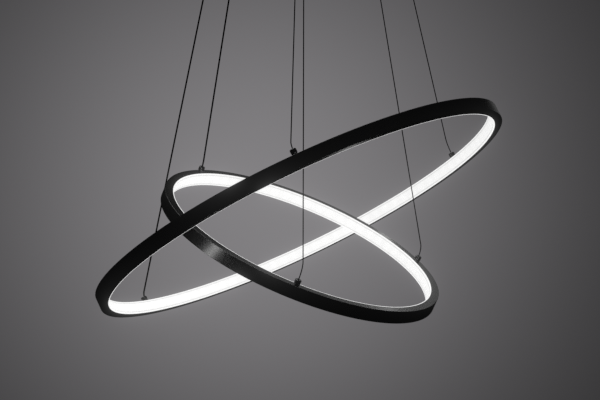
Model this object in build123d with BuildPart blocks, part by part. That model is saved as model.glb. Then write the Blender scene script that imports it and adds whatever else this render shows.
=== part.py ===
"""Two-ring pendant light: a ceiling canopy, six suspension lines and two leaning light rings."""

import os
from dataclasses import dataclass
from math import cos, degrees, radians, sin, tan

from build123d import *

os.makedirs("parts", exist_ok=True)

# Light rings. The origin is on the ceiling, in the middle of the canopy, with +Z up.
LINES = ("feed", "near", "right")  # suspension lines of a ring
RINGS_SWAY = -4.4  # canopy's middle to the rings' middle, along X
LARGE_DIAMETER = 600.0
SMALL_DIAMETER = 400.0
LARGE_DROP = 658.4  # ceiling to the middle of the large ring
SMALL_DROP = 700.8
LARGE_TILT = 28.1  # lean of the ring's axis from the vertical, degrees
SMALL_TILT = 28.0
LARGE_LEAN = 155.2  # way that the axis leans, degrees from +X towards +Y
SMALL_LEAN = -37.0

# Channel section, open towards the middle of the ring
CHANNEL_HEIGHT = 18.0
CHANNEL_DEPTH = 11.2
CHANNEL_BACK = 1.2
CHANNEL_FLANGE = 1.0
CHANNEL_EDGE = 0.5  # rounding of the two outer edges
SEAM_ANGLE = 162.0  # where the bent channel's ends meet
SEAM_GAP = 0.2

# Opal diffuser, clipped over the channel's mouth
DIFFUSER_HEIGHT = 18.0
DIFFUSER_RIM = 1.0  # thickness at its edges
DIFFUSER_CROWN = 2.0  # thickness at its middle
CLIP_LENGTH = 1.0
CLIP_THICKNESS = 0.8

# Light strip on the channel's back wall
STRIP_HEIGHT = 8.0
STRIP_THICKNESS = 0.4
STRIP_GAP_ANGLE = 2.0
CHIP_PITCH = 18.0
CHIP_WIDTH = 2.8
CHIP_HEIGHT = 3.5
CHIP_THICKNESS = 0.7

# Joiner bar behind the seam, with a countersunk screw each side
JOINER_LENGTH = 56.0
JOINER_HEIGHT = 3.0
JOINER_DEPTH = 4.0
JOINER_SCREW_SPACING = 34.0
JOINER_SCREW_DIAMETER = 2.5
JOINER_SCREW_LENGTH = 3.6
JOINER_HEAD_DIAMETER = 4.2
JOINER_HEAD_HEIGHT = 0.8

# Hangers standing on each ring, at these angles round it
LARGE_HANGER_ANGLES = {"feed": 148.2, "near": -87.8, "right": 34.7}
SMALL_HANGER_ANGLES = {"feed": 146.9, "near": -89.4, "right": 30.5}
HANGER_DIAMETER = 8.6
HANGER_HEIGHT = 7.8
HANGER_CHAMFER = 0.7
HANGER_NECK_DIAMETER = 7.2
HANGER_NECK_HEIGHT = 1.6
HANGER_FLOOR = 1.2  # solid metal under a wire's end
STUD_DIAMETER = 4.0
STUD_OVERRUN = 0.4
STUD_NUT_WIDTH = 7.0
STUD_NUT_HEIGHT = 2.2
GRUB_DIAMETER = 3.0
GRUB_SETBACK = 0.5
GRUB_SOCKET = 1.5
GRUB_SOCKET_DEPTH = 0.9
GRUB_HEIGHT = 4.4  # above the ring's top face

# Suspension lines: a feed cord and two steel wires for each ring
WIRE_DIAMETER = 1.4
CORD_DIAMETER = 2.2
CORD_TAIL = 1.5  # feed cord's reach past its stud, inside the channel
WIRE_TAIL = 5.0  # steel wire's reach past its gripper, inside the canopy
LARGE_RISE = {"feed": 1.5, "near": 5.0, "right": 13.0}  # hanger's top to the first bend
SMALL_RISE = {"feed": 1.5, "near": 14.5, "right": 10.0}
TOP_FALL = 10.0  # grip's nozzle to the last bend
BEND_SHARE = 0.45  # share of a run that a bend may take
FEED_BEND = 7.0  # radius of a feed cord's turn towards the driver

# Canopy cover, a spun cup that closes against the ceiling
CANOPY_DIAMETER = 230.0
CANOPY_HEIGHT = 45.0
CANOPY_WALL = 1.2
CANOPY_CORNER = 4.0
COVER_SCREW_ANGLES = (90.0, 210.0, 330.0)
COVER_SCREW_DIAMETER = 4.0
COVER_SCREW_LENGTH = 8.0
COVER_SCREW_LEVEL = -14.0
COVER_HEAD_DIAMETER = 8.0
COVER_HEAD_HEIGHT = 2.6
COVER_HEAD_ROUNDING = 1.2
COVER_HEAD_SLOT_WIDTH = 1.0
COVER_HEAD_SLOT_DEPTH = 1.0

# Ceiling plate, a pressed pan inside the cover
PLATE_THICKNESS = 1.5
PLATE_RIM_HEIGHT = 22.0
CEILING_SLOT_SPACING = 140.0
CEILING_SLOT_LENGTH = 16.0
CEILING_SLOT_WIDTH = 5.5
CABLE_ENTRY_DIAMETER = 24.0

# Grippers and cord grips through the canopy's floor
GRIP_ANGLES = {"feed": 150.0, "near": -90.0, "right": 30.0}
LARGE_GRIP_TURN = -2.0  # added to each of these angles
SMALL_GRIP_TURN = 0.0
LARGE_GRIP_RADIUS = 95.0
SMALL_GRIP_RADIUS = 66.0
GRIP_THREAD_DIAMETER = 8.0
GRIP_THREAD_LENGTH = 9.2
GRIP_FLANGE_DIAMETER = 14.0
GRIP_FLANGE_HEIGHT = 2.5
GRIP_BODY_DIAMETER = 10.5
GRIP_BODY_HEIGHT = 10.0
GRIP_CHAMFER = 0.8
GRIP_NUT_WIDTH = 13.0
GRIP_NUT_HEIGHT = 4.0
GRIPPER_LIP = 2.0  # floor of the gripper's barrel, which holds the plunger in
GRIPPER_CAVITY = 7.6
PLUNGER_DIAMETER = 5.0
PLUNGER_REACH = 4.0  # how far it stands out of its gripper
PLUNGER_COLLAR_DIAMETER = 6.6
PLUNGER_COLLAR_HEIGHT = 3.0
CORD_NOSE_DIAMETER = 6.4
CORD_NOSE_HEIGHT = 4.0
CORD_SCREW_FALL = 7.5  # canopy's underside to the cord grip's screw

# Driver and terminal block under the ceiling plate
DRIVER_LENGTH = 120.0
DRIVER_WIDTH = 36.0
DRIVER_HEIGHT = 24.0
DRIVER_MIDDLE = (11.0, 44.0)
DRIVER_EDGE = 2.0
DRIVER_RIB_COUNT = 9
DRIVER_RIB_PITCH = 10.0
DRIVER_RIB_WIDTH = 1.6
DRIVER_RIB_DEPTH = 0.8
DRIVER_EAR_LENGTH = 11.0
DRIVER_EAR_WIDTH = 20.0
DRIVER_EAR_THICKNESS = 2.0
DRIVER_SCREW_DIAMETER = 3.0
DRIVER_HEAD_DIAMETER = 6.0
DRIVER_HEAD_HEIGHT = 2.0
FEED_LEVEL = -14.0
SOCKET_DEPTH = 5.0  # depth of a lead's socket
TERMINAL_WIDTH = 18.0
TERMINAL_LENGTH = 30.0
TERMINAL_HEIGHT = 14.0
TERMINAL_MIDDLE = (48.0, -40.0)
TERMINAL_EDGE = 1.0
TERMINAL_PITCH = 9.0
TERMINAL_POLES = 3
TERMINAL_SCREW_DIAMETER = 3.4
TERMINAL_SCREW_LENGTH = 4.0
TERMINAL_SCREW_SPACING = 10.0
LEAD_DIAMETER = 2.0
LEAD_LEVEL = -10.0
LEAD_BEND = 10.0
LEAD_REACH = (12.0, 19.0)  # how far each lead runs out past the driver's end

# Clearances
SEAT_GAP = 0.1  # between pieces that lie on each other on a curve
THREAD_GAP = 0.06  # round a screw, a stud or a nut
SLIDE_GAP = 0.06  # round a plunger
WIRE_GAP = 0.15  # round a wire or a cord
COVER_GAP = 0.4  # between the plate's rim and the cover

# Sizes that follow
UNDERSIDE = -CANOPY_HEIGHT
COVER_RADIUS = CANOPY_DIAMETER / 2
RIM_RADIUS = COVER_RADIUS - CANOPY_WALL - COVER_GAP
GRIP_BOTTOM = UNDERSIDE - GRIP_FLANGE_HEIGHT - GRIP_BODY_HEIGHT
NOZZLE = GRIP_BOTTOM - PLUNGER_REACH
GRIP_TOP = UNDERSIDE + GRIP_THREAD_LENGTH
PLATE_UNDERSIDE = -PLATE_THICKNESS
STUD_LENGTH = CHANNEL_FLANGE + STUD_NUT_HEIGHT + STUD_OVERRUN
RISING = (Align.CENTER, Align.CENTER, Align.MIN)
HANGING = (Align.CENTER, Align.CENTER, Align.MAX)


@dataclass(frozen=True)
class Ring:
    """One light ring: its size, its place and how it leans."""

    name: str
    diameter: float
    drop: float
    tilt: float
    lean: float
    hanger_angles: dict
    rise: dict
    grip_radius: float
    grip_turn: float

    @property
    def radius(self):
        """Outside radius of the channel."""
        return self.diameter / 2

    @property
    def hanger_radius(self):
        """Radius that the hangers stand on, in the middle of the channel's top face."""
        return self.radius - CHANNEL_DEPTH / 2

    @property
    def plane(self):
        """Plane through the ring's middle, whose x axis is the level line it leans about."""
        tilt, lean = radians(self.tilt), radians(self.lean)
        normal = (sin(tilt) * cos(lean), sin(tilt) * sin(lean), cos(tilt))
        middle = (RINGS_SWAY, 0, -self.drop)
        return Plane(origin=middle, x_dir=(-sin(lean), cos(lean), 0), z_dir=normal)

    @property
    def axis(self):
        """Line through the ring's middle, square to it."""
        return Axis(self.plane.origin, self.plane.z_dir)

    def place(self, angle, radius, height):
        """Location on the ring whose x axis points outwards and whose z axis is the ring's."""
        turn = angle - self.lean - 90
        x, y = radius * cos(radians(turn)), radius * sin(radians(turn))
        return self.plane.location * Location((x, y, height), (0, 0, turn))

    def section(self, angle):
        """Plane that cuts the ring at an angle: x runs outwards and y along the ring's axis."""
        here = Plane(self.place(angle, 0, 0))
        return Plane(origin=here.origin, x_dir=here.x_dir, z_dir=-here.y_dir)

    def hanger(self, line):
        """Location of a hanger's foot on the channel's top face."""
        return self.place(self.hanger_angles[line], self.hanger_radius, CHANNEL_HEIGHT / 2)

    def grip(self, line):
        """Place on the canopy's floor that a suspension line comes out of, seen in plan."""
        angle = radians(GRIP_ANGLES[line] + self.grip_turn)
        return self.grip_radius * cos(angle), self.grip_radius * sin(angle)

    def line_diameter(self, line):
        """Thickness of a suspension line: the feed cord is thicker than the wires."""
        return CORD_DIAMETER if line == "feed" else WIRE_DIAMETER


LARGE_RING = Ring(
    name="large",
    diameter=LARGE_DIAMETER,
    drop=LARGE_DROP,
    tilt=LARGE_TILT,
    lean=LARGE_LEAN,
    hanger_angles=LARGE_HANGER_ANGLES,
    rise=LARGE_RISE,
    grip_radius=LARGE_GRIP_RADIUS,
    grip_turn=LARGE_GRIP_TURN,
)
SMALL_RING = Ring(
    name="small",
    diameter=SMALL_DIAMETER,
    drop=SMALL_DROP,
    tilt=SMALL_TILT,
    lean=SMALL_LEAN,
    hanger_angles=SMALL_HANGER_ANGLES,
    rise=SMALL_RISE,
    grip_radius=SMALL_GRIP_RADIUS,
    grip_turn=SMALL_GRIP_TURN,
)
RINGS = (LARGE_RING, SMALL_RING)
GRIPS = [(ring, line, ring.grip(line)) for ring in RINGS for line in LINES]
WIRES = [entry for entry in GRIPS if entry[1] != "feed"]
FEEDS = [entry for entry in GRIPS if entry[1] == "feed"]


def save(part, name):
    """Label a finished piece and write it out."""
    part.label = name
    export_step(part, f"parts/{name}.step")


def joiner_screw_angles(ring):
    """Angles of the two screws, one each side of the seam."""
    half = degrees(JOINER_SCREW_SPACING / 2 / ring.radius)
    return SEAM_ANGLE - half, SEAM_ANGLE + half


def joiner_screw_places(ring):
    """Locations of the joiner's screw heads, flush with the channel's lower face."""
    radius = ring.radius - CHANNEL_BACK - SEAT_GAP - JOINER_DEPTH / 2
    return [ring.place(angle, radius, -CHANNEL_HEIGHT / 2) for angle in joiner_screw_angles(ring)]


def make_channel(ring):
    """Channel rolled into a ring, with a butt seam and holes for its hangers and joiner."""
    with BuildPart() as channel:
        with BuildSketch(ring.section(0)) as profile:
            with Locations((ring.radius, 0)):
                Rectangle(CHANNEL_DEPTH, CHANNEL_HEIGHT, align=(Align.MAX, Align.CENTER))
            fillet(profile.vertices().sort_by(profile_outwards(ring))[-2:], CHANNEL_EDGE)
            with Locations((ring.radius - CHANNEL_BACK, 0)):
                mouth = CHANNEL_HEIGHT - 2 * CHANNEL_FLANGE
                Rectangle(CHANNEL_DEPTH, mouth, align=(Align.MAX, Align.CENTER), mode=Mode.SUBTRACT)
        revolve(axis=ring.axis)
        with Locations(ring.place(SEAM_ANGLE, ring.hanger_radius, 0)):
            Box(2 * CHANNEL_DEPTH, SEAM_GAP, 2 * CHANNEL_HEIGHT, mode=Mode.SUBTRACT)
        with Locations([ring.hanger(line) for line in LINES]):
            Cylinder(STUD_DIAMETER / 2 + THREAD_GAP, 2 * CHANNEL_FLANGE, mode=Mode.SUBTRACT)
        with Locations(joiner_screw_places(ring)):
            Cylinder(
                JOINER_SCREW_DIAMETER / 2 + THREAD_GAP, 2 * CHANNEL_FLANGE, mode=Mode.SUBTRACT
            )
            Cone(
                JOINER_HEAD_DIAMETER / 2 + THREAD_GAP,
                JOINER_SCREW_DIAMETER / 2 + THREAD_GAP,
                JOINER_HEAD_HEIGHT,
                align=RISING,
                mode=Mode.SUBTRACT,
            )
    return channel.part


def profile_outwards(ring):
    """Axis along a section's x direction, to sort its corners by."""
    section = ring.section(0)
    return Axis(section.origin, section.x_dir)


def make_diffuser(ring):
    """Opal strip with a crowned face and two clips that hold in the channel's mouth."""
    mouth = ring.radius - CHANNEL_DEPTH - SEAT_GAP
    half = DIFFUSER_HEIGHT / 2
    clip_top = CHANNEL_HEIGHT / 2 - CHANNEL_FLANGE - SEAT_GAP
    with BuildPart() as diffuser:
        with BuildSketch(ring.section(0)):
            with BuildLine():
                Polyline(
                    (mouth - DIFFUSER_RIM, half), (mouth, half), (mouth, -half), (mouth - DIFFUSER_RIM, -half)
                )
                ThreePointArc(
                    (mouth - DIFFUSER_RIM, -half), (mouth - DIFFUSER_CROWN, 0), (mouth - DIFFUSER_RIM, half)
                )
            make_face()
            for side in (1, -1):
                with Locations((mouth, side * (clip_top - CLIP_THICKNESS / 2))):
                    Rectangle(CLIP_LENGTH + SEAT_GAP, CLIP_THICKNESS, align=(Align.MIN, Align.CENTER))
        revolve(axis=ring.axis)
    return diffuser.part


def make_strip(ring):
    """Flexible light strip that lines the channel's back wall, open at the seam."""
    with BuildPart() as strip:
        with BuildSketch(ring.section(SEAM_ANGLE + STRIP_GAP_ANGLE / 2)):
            with Locations((ring.radius - CHANNEL_BACK - SEAT_GAP, 0)):
                Rectangle(STRIP_THICKNESS, STRIP_HEIGHT, align=(Align.MAX, Align.CENTER))
        revolve(axis=ring.axis, revolution_arc=360 - STRIP_GAP_ANGLE)
    return strip.part


def make_chips(ring):
    """Light-emitting chips, evenly spaced along the strip."""
    face = ring.radius - CHANNEL_BACK - 2 * SEAT_GAP - STRIP_THICKNESS - CHIP_THICKNESS / 2
    count = int((360 - STRIP_GAP_ANGLE) * radians(face) / CHIP_PITCH)
    step = (360 - STRIP_GAP_ANGLE) / count
    start = SEAM_ANGLE + STRIP_GAP_ANGLE / 2 + step / 2
    with BuildPart() as chips:
        with Locations([ring.place(start + step * index, face, 0) for index in range(count)]):
            Box(CHIP_THICKNESS, CHIP_WIDTH, CHIP_HEIGHT)
    return chips.part


def make_joiner(ring):
    """Curved bar that bridges the seam in the channel's lower corner."""
    arc = degrees(JOINER_LENGTH / ring.radius)
    floor = -CHANNEL_HEIGHT / 2 + CHANNEL_FLANGE
    with BuildPart() as joiner:
        with BuildSketch(ring.section(SEAM_ANGLE - arc / 2)):
            with Locations((ring.radius - CHANNEL_BACK - SEAT_GAP, floor)):
                Rectangle(JOINER_DEPTH, JOINER_HEIGHT, align=(Align.MAX, Align.MIN))
        revolve(axis=ring.axis, revolution_arc=arc)
        with Locations(joiner_screw_places(ring)):
            Cylinder(
                JOINER_SCREW_DIAMETER / 2 + THREAD_GAP,
                2 * (CHANNEL_FLANGE + JOINER_HEIGHT) + SEAT_GAP,
                mode=Mode.SUBTRACT,
            )
    return joiner.part


def make_joiner_screws(ring):
    """Two countersunk screws, flush with the channel's lower face."""
    with BuildPart() as screws:
        with Locations(joiner_screw_places(ring)):
            Cone(JOINER_HEAD_DIAMETER / 2, JOINER_SCREW_DIAMETER / 2, JOINER_HEAD_HEIGHT, align=RISING)
            Cylinder(JOINER_SCREW_DIAMETER / 2, JOINER_SCREW_LENGTH, align=RISING)
    return screws.part


def make_hanger(ring, line):
    """Turned barrel with a hollow or blind bore, a stud below and a screw hole in its inner side."""
    foot = ring.hanger(line)
    bore = ring.line_diameter(line) / 2 + WIRE_GAP
    outer, neck, stud = HANGER_DIAMETER / 2, HANGER_NECK_DIAMETER / 2, STUD_DIAMETER / 2
    slope = HANGER_NECK_HEIGHT + outer - neck
    here = Plane(foot)
    with BuildPart() as hanger:
        with BuildSketch(Plane(origin=here.origin, x_dir=here.x_dir, z_dir=-here.y_dir)):
            with BuildLine():
                Polyline(
                    (0, -STUD_LENGTH),
                    (stud, -STUD_LENGTH),
                    (stud, 0),
                    (neck, 0),
                    (neck, HANGER_NECK_HEIGHT),
                    (outer, slope),
                    (outer, HANGER_HEIGHT - HANGER_CHAMFER),
                    (outer - HANGER_CHAMFER, HANGER_HEIGHT),
                    (0, HANGER_HEIGHT),
                    close=True,
                )
            make_face()
        revolve(axis=Axis(here.origin, here.z_dir))
        bore_floor = -STUD_LENGTH if line == "feed" else HANGER_FLOOR
        with Locations(foot * Location((0, 0, bore_floor))):
            Cylinder(bore, HANGER_HEIGHT - bore_floor, align=RISING, mode=Mode.SUBTRACT)
        with Locations(foot * Location((0, 0, GRUB_HEIGHT), (0, -90, 0))):
            Cylinder(GRUB_DIAMETER / 2 + THREAD_GAP, outer, align=RISING, mode=Mode.SUBTRACT)
    return hanger.part


def make_grub_screws(ring):
    """Three socket screws that pinch the lines in the hangers."""
    with BuildPart() as screws:
        for line in LINES:
            tip = ring.line_diameter(line) / 2 + SEAT_GAP
            head = HANGER_DIAMETER / 2 - GRUB_SETBACK
            along = ring.hanger(line) * Location((0, 0, GRUB_HEIGHT), (0, -90, 0))
            with Locations(along * Location((0, 0, tip))):
                Cylinder(GRUB_DIAMETER / 2, head - tip, align=RISING)
            with BuildSketch(Plane(along).offset(head)):
                RegularPolygon(GRUB_SOCKET / 2, 6, major_radius=False)
            extrude(amount=-GRUB_SOCKET_DEPTH, mode=Mode.SUBTRACT)
    return screws.part


def make_stud_nuts(ring):
    """Three nuts on the hangers' studs, against the inside of the channel's top flange."""
    with BuildPart() as nuts:
        for line in LINES:
            seat = Plane(ring.hanger(line)).offset(-CHANNEL_FLANGE)
            with BuildSketch(seat):
                RegularPolygon(STUD_NUT_WIDTH / 2, 6, major_radius=False, rotation=30)
                Circle(STUD_DIAMETER / 2 + THREAD_GAP, mode=Mode.SUBTRACT)
            extrude(amount=-STUD_NUT_HEIGHT)
    return nuts.part


def bend_radius(before, corner, after, reach):
    """Radius of the arc whose ends lie a given reach from a corner of a route."""
    turn = (corner - before).get_angle(after - corner)
    return reach / tan(radians(turn / 2))


def make_line(name, points, reaches, diameter):
    """Tube along straight runs joined by tangent arcs, one reach for each corner."""
    route = [Vector(*point) for point in points]
    corners = zip(route, route[1:], route[2:], reaches)
    radii = [bend_radius(before, corner, after, reach) for before, corner, after, reach in corners]
    with BuildPart() as tube:
        with BuildLine() as path:
            FilletPolyline(*route, radius=radii)
        wire = path.wire()
        with BuildSketch(Plane(origin=wire @ 0, z_dir=wire % 0)) as section:
            Circle(diameter / 2)
        sweep(path=wire)
    share = tube.part.volume / (section.sketch.area * wire.length)
    rounded = [round(radius, 1) for radius in radii]
    print(f"{name} length {wire.length:.1f} radii {rounded} volume share {share:.4f}")
    return tube.part


def suspension_route(ring, line):
    """Corners of a line from inside its hanger to its grip, and the reach of each bend."""
    foot = ring.hanger(line)
    x, y = ring.grip(line)
    start = -STUD_LENGTH - CORD_TAIL if line == "feed" else HANGER_FLOOR + SEAT_GAP
    first_bend = HANGER_HEIGHT + ring.rise[line]
    points = [(foot * Location((0, 0, height))).position for height in (start, first_bend)]
    points.append(Vector(x, y, NOZZLE - TOP_FALL))
    return points, [BEND_SHARE * min(first_bend, 2 * ring.rise[line]), BEND_SHARE * TOP_FALL]


def make_wire(ring, line):
    """Steel wire from its hanger to a short tail above its gripper."""
    points, reaches = suspension_route(ring, line)
    x, y = ring.grip(line)
    points.append(Vector(x, y, GRIP_TOP + WIRE_TAIL))
    return make_line(f"{ring.name}_{line}_wire", points, reaches, WIRE_DIAMETER)


def make_feed_cord(ring):
    """Feed cord from the light strip, up through its cord grip and into the driver's end."""
    points, reaches = suspension_route(ring, "feed")
    x, y = ring.grip("feed")
    driver_end = DRIVER_MIDDLE[0] - DRIVER_LENGTH / 2
    points.append(Vector(x, y, FEED_LEVEL))
    points.append(Vector(driver_end + SOCKET_DEPTH - SEAT_GAP, y, FEED_LEVEL))
    return make_line(f"{ring.name}_feed_cord", points, [*reaches, FEED_BEND], CORD_DIAMETER)


def make_gripper(place):
    """Wire gripper: threaded neck, flange and a barrel with a cavity for its release plunger."""
    with BuildPart() as gripper:
        with Locations((*place, UNDERSIDE)):
            Cylinder(GRIP_THREAD_DIAMETER / 2, GRIP_THREAD_LENGTH, align=RISING)
            Cylinder(GRIP_FLANGE_DIAMETER / 2, GRIP_FLANGE_HEIGHT, align=HANGING)
            Cylinder(GRIP_BODY_DIAMETER / 2, GRIP_FLANGE_HEIGHT + GRIP_BODY_HEIGHT, align=HANGING)
        chamfer(gripper.edges().group_by(Axis.Z)[0], GRIP_CHAMFER)
        with Locations((*place, GRIP_BOTTOM)):
            Cylinder(PLUNGER_DIAMETER / 2 + SLIDE_GAP, GRIPPER_LIP, align=RISING, mode=Mode.SUBTRACT)
            bore_length = GRIP_TOP - GRIP_BOTTOM
            Cylinder(WIRE_DIAMETER / 2 + WIRE_GAP, bore_length, align=RISING, mode=Mode.SUBTRACT)
        with Locations((*place, GRIP_BOTTOM + GRIPPER_LIP)):
            cavity_radius = PLUNGER_COLLAR_DIAMETER / 2 + SLIDE_GAP
            Cylinder(cavity_radius, GRIPPER_CAVITY, align=RISING, mode=Mode.SUBTRACT)
    return gripper.part


def make_plunger(place):
    """Release nozzle with a collar, pushed up into its gripper to free the wire."""
    nozzle_length = PLUNGER_REACH + GRIPPER_LIP + SLIDE_GAP
    length = nozzle_length + PLUNGER_COLLAR_HEIGHT
    with BuildPart() as plunger:
        with Locations((*place, NOZZLE)):
            Cylinder(PLUNGER_DIAMETER / 2, length, align=RISING)
        chamfer(plunger.edges().group_by(Axis.Z)[0], GRIP_CHAMFER)
        with Locations((*place, NOZZLE + nozzle_length)):
            Cylinder(PLUNGER_COLLAR_DIAMETER / 2, PLUNGER_COLLAR_HEIGHT, align=RISING)
        with Locations((*place, NOZZLE)):
            Cylinder(WIRE_DIAMETER / 2 + WIRE_GAP, length, align=RISING, mode=Mode.SUBTRACT)
    return plunger.part


def cord_screw_place(place):
    """Location of a cord grip's screw, whose z axis points out of the canopy's middle."""
    outwards = Plane(origin=(0, 0, 0), z_dir=(*place, 0))
    level = UNDERSIDE - CORD_SCREW_FALL
    return Location(Plane(origin=(*place, level), x_dir=outwards.x_dir, z_dir=outwards.z_dir))


def make_cord_grip(place):
    """Cord grip: the gripper's neck and flange over a plain barrel with a tapered nose."""
    with BuildPart() as grip:
        with Locations((*place, UNDERSIDE)):
            Cylinder(GRIP_THREAD_DIAMETER / 2, GRIP_THREAD_LENGTH, align=RISING)
            Cylinder(GRIP_FLANGE_DIAMETER / 2, GRIP_FLANGE_HEIGHT, align=HANGING)
            Cylinder(GRIP_BODY_DIAMETER / 2, GRIP_FLANGE_HEIGHT + GRIP_BODY_HEIGHT, align=HANGING)
        with Locations((*place, GRIP_BOTTOM)):
            Cone(CORD_NOSE_DIAMETER / 2, GRIP_BODY_DIAMETER / 2, CORD_NOSE_HEIGHT, align=HANGING)
            bore_length = GRIP_TOP - GRIP_BOTTOM + CORD_NOSE_HEIGHT
        with Locations((*place, GRIP_BOTTOM - CORD_NOSE_HEIGHT)):
            Cylinder(CORD_DIAMETER / 2 + WIRE_GAP, bore_length, align=RISING, mode=Mode.SUBTRACT)
        with Locations(cord_screw_place(place)):
            Cylinder(
                GRUB_DIAMETER / 2 + THREAD_GAP, GRIP_BODY_DIAMETER / 2, align=RISING, mode=Mode.SUBTRACT
            )
    return grip.part


def make_cord_grip_screws():
    """Socket screws that pinch the feed cords in their grips."""
    tip = CORD_DIAMETER / 2 + SEAT_GAP
    head = GRIP_BODY_DIAMETER / 2 - GRUB_SETBACK
    with BuildPart() as screws:
        for _, _, place in FEEDS:
            along = cord_screw_place(place)
            with Locations(along * Location((0, 0, tip))):
                Cylinder(GRUB_DIAMETER / 2, head - tip, align=RISING)
            with BuildSketch(Plane(along).offset(head)):
                RegularPolygon(GRUB_SOCKET / 2, 6, major_radius=False)
            extrude(amount=-GRUB_SOCKET_DEPTH, mode=Mode.SUBTRACT)
    return screws.part


def make_grip_nuts():
    """Nuts that hold the grippers and cord grips to the canopy's floor, from inside."""
    with BuildPart() as nuts:
        with BuildSketch(Plane.XY.offset(UNDERSIDE + CANOPY_WALL)):
            with Locations([place for _, _, place in GRIPS]):
                RegularPolygon(GRIP_NUT_WIDTH / 2, 6, major_radius=False)
                Circle(GRIP_THREAD_DIAMETER / 2 + THREAD_GAP, mode=Mode.SUBTRACT)
        extrude(amount=GRIP_NUT_HEIGHT)
    return nuts.part


def cover_screw_places():
    """Locations on the cover's wall whose z axes point outwards."""
    places = []
    for angle in COVER_SCREW_ANGLES:
        x, y = cos(radians(angle)), sin(radians(angle))
        origin = (COVER_RADIUS * x, COVER_RADIUS * y, COVER_SCREW_LEVEL)
        places.append(Location(Plane(origin=origin, x_dir=(0, 0, 1), z_dir=(x, y, 0))))
    return places


def make_cover():
    """Spun cup with a rounded lower corner, pierced for the grips and its side screws."""
    with BuildPart() as cover:
        with Locations((0, 0, UNDERSIDE)):
            Cylinder(COVER_RADIUS, CANOPY_HEIGHT, align=RISING)
        fillet(cover.edges().group_by(Axis.Z)[0], CANOPY_CORNER)
        offset(amount=-CANOPY_WALL, openings=cover.faces().sort_by(Axis.Z)[-1])
        with Locations([(*place, UNDERSIDE) for _, _, place in GRIPS]):
            Cylinder(GRIP_THREAD_DIAMETER / 2 + THREAD_GAP, 4 * CANOPY_WALL, mode=Mode.SUBTRACT)
        with Locations(cover_screw_places()):
            Cylinder(COVER_SCREW_DIAMETER / 2 + THREAD_GAP, 4 * CANOPY_WALL, mode=Mode.SUBTRACT)
    return cover.part


def make_cover_screws():
    """Round-head slotted screws through the cover's wall into the plate's rim."""
    with BuildPart() as screws:
        for place in cover_screw_places():
            with Locations(place * Location((0, 0, SEAT_GAP))):
                Cylinder(COVER_HEAD_DIAMETER / 2, COVER_HEAD_HEIGHT, align=RISING)
        heads = screws.faces().filter_by(GeomType.PLANE).filter_by(points_outwards)
        fillet(heads.edges(), COVER_HEAD_ROUNDING)
        for place in cover_screw_places():
            with Locations(place * Location((0, 0, SEAT_GAP))):
                Cylinder(COVER_SCREW_DIAMETER / 2, COVER_SCREW_LENGTH, align=HANGING)
            with Locations(place * Location((0, 0, SEAT_GAP + COVER_HEAD_HEIGHT))):
                Box(
                    COVER_HEAD_SLOT_WIDTH,
                    COVER_HEAD_DIAMETER,
                    2 * COVER_HEAD_SLOT_DEPTH,
                    mode=Mode.SUBTRACT,
                )
    return screws.part


def points_outwards(face):
    """Whether a screw head's flat faces away from the canopy's middle."""
    normal, centre = face.normal_at(), face.center()
    return normal.X * centre.X + normal.Y * centre.Y > 0


def driver_screw_places():
    """Plan places of the two screws through the driver's ears."""
    x, y = DRIVER_MIDDLE
    reach = (DRIVER_LENGTH + DRIVER_EAR_LENGTH) / 2
    return (x - reach, y), (x + reach, y)


def make_ceiling_plate():
    """Pressed pan with a turned-down rim, ceiling slots and a cable entry."""
    with BuildPart() as plate:
        Cylinder(RIM_RADIUS, PLATE_RIM_HEIGHT, align=HANGING)
        offset(amount=-PLATE_THICKNESS, openings=plate.faces().sort_by(Axis.Z)[0])
        with BuildSketch():
            with GridLocations(CEILING_SLOT_SPACING, 0, 2, 1):
                SlotOverall(CEILING_SLOT_LENGTH, CEILING_SLOT_WIDTH)
            Circle(CABLE_ENTRY_DIAMETER / 2)
            with Locations(driver_screw_places()):
                Circle(DRIVER_SCREW_DIAMETER / 2 + THREAD_GAP)
        extrude(amount=-PLATE_THICKNESS, mode=Mode.SUBTRACT)
        with Locations(cover_screw_places()):
            rim_reach = COVER_SCREW_LENGTH + COVER_GAP
            Cylinder(
                COVER_SCREW_DIAMETER / 2 + THREAD_GAP, rim_reach, align=HANGING, mode=Mode.SUBTRACT
            )
    return plate.part


def make_driver():
    """Ribbed driver case with two fixing ears and sockets for its cords and leads."""
    x, y = DRIVER_MIDDLE
    left, right = x - DRIVER_LENGTH / 2, x + DRIVER_LENGTH / 2
    with BuildPart() as driver:
        with Locations((x, y, PLATE_UNDERSIDE)):
            Box(DRIVER_LENGTH, DRIVER_WIDTH, DRIVER_HEIGHT, align=HANGING)
        fillet(driver.edges().filter_by(Axis.X), DRIVER_EDGE)
        with Locations((x, y, PLATE_UNDERSIDE - DRIVER_HEIGHT)):
            with GridLocations(DRIVER_RIB_PITCH, 0, DRIVER_RIB_COUNT, 1):
                Box(DRIVER_RIB_WIDTH, DRIVER_WIDTH, 2 * DRIVER_RIB_DEPTH, mode=Mode.SUBTRACT)
        with Locations([(*place, PLATE_UNDERSIDE) for place in driver_screw_places()]):
            Box(DRIVER_EAR_LENGTH, DRIVER_EAR_WIDTH, DRIVER_EAR_THICKNESS, align=HANGING)
            Cylinder(
                DRIVER_SCREW_DIAMETER / 2 + THREAD_GAP,
                DRIVER_EAR_THICKNESS,
                align=HANGING,
                mode=Mode.SUBTRACT,
            )
        with Locations([Location((left, place[1], FEED_LEVEL), (0, 90, 0)) for _, _, place in FEEDS]):
            Cylinder(CORD_DIAMETER / 2 + WIRE_GAP, SOCKET_DEPTH, align=RISING, mode=Mode.SUBTRACT)
        with Locations([Location((right, row, LEAD_LEVEL), (0, -90, 0)) for row in driver_lead_rows()]):
            Cylinder(LEAD_DIAMETER / 2 + WIRE_GAP, SOCKET_DEPTH, align=RISING, mode=Mode.SUBTRACT)
    return driver.part


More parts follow.
